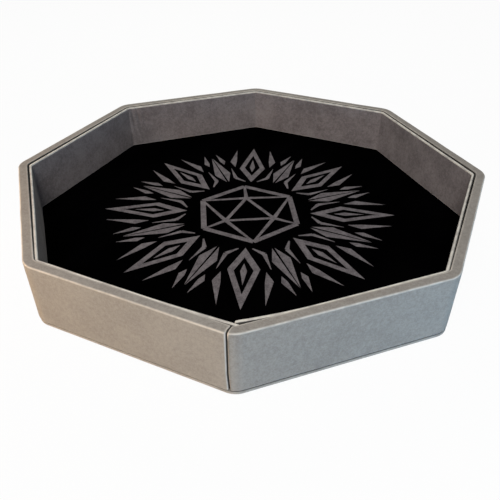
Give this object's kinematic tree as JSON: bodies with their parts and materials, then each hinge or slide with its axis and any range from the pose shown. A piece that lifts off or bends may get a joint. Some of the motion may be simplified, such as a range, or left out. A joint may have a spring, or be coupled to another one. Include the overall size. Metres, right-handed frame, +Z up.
{
  "type": "dice tray",
  "caption": "Octagonal dice tray with a low cloth-wrapped wall, a thin inner liner and a padded velvet floor, for rolling dice quietly and keeping them on the table.",
  "frame": {"origin": "middle of the underside", "axes": "+Z up. Sides face +X, -X, +Y and -Y, with the others between them. The wall strip's seam is in the corner between the -Y side and the side that faces +X and -Y"},
  "size_m": [0.3, 0.3, 0.042],
  "materials": {
    "fibreboard": "matte",
    "card": "matte",
    "greyboard": "matte",
    "suede": "matte",
    "foam": "matte",
    "velvet": "matte"
  },
  "bodies": {
    "root": {"wall_board_1": "fibreboard", "wall_board_2": "fibreboard", "wall_board_3": "fibreboard", "wall_board_4": "fibreboard", "wall_board_5": "fibreboard", "wall_board_6": "fibreboard", "wall_board_7": "fibreboard", "wall_board_8": "fibreboard", "wall_cover": "suede", "liner_card": "card", "liner_cover": "suede", "base_board": "greyboard", "base_cover": "suede", "floor_card": "greyboard", "floor_foam": "foam", "floor_velvet": "velvet"}
  },
  "joints": []
}
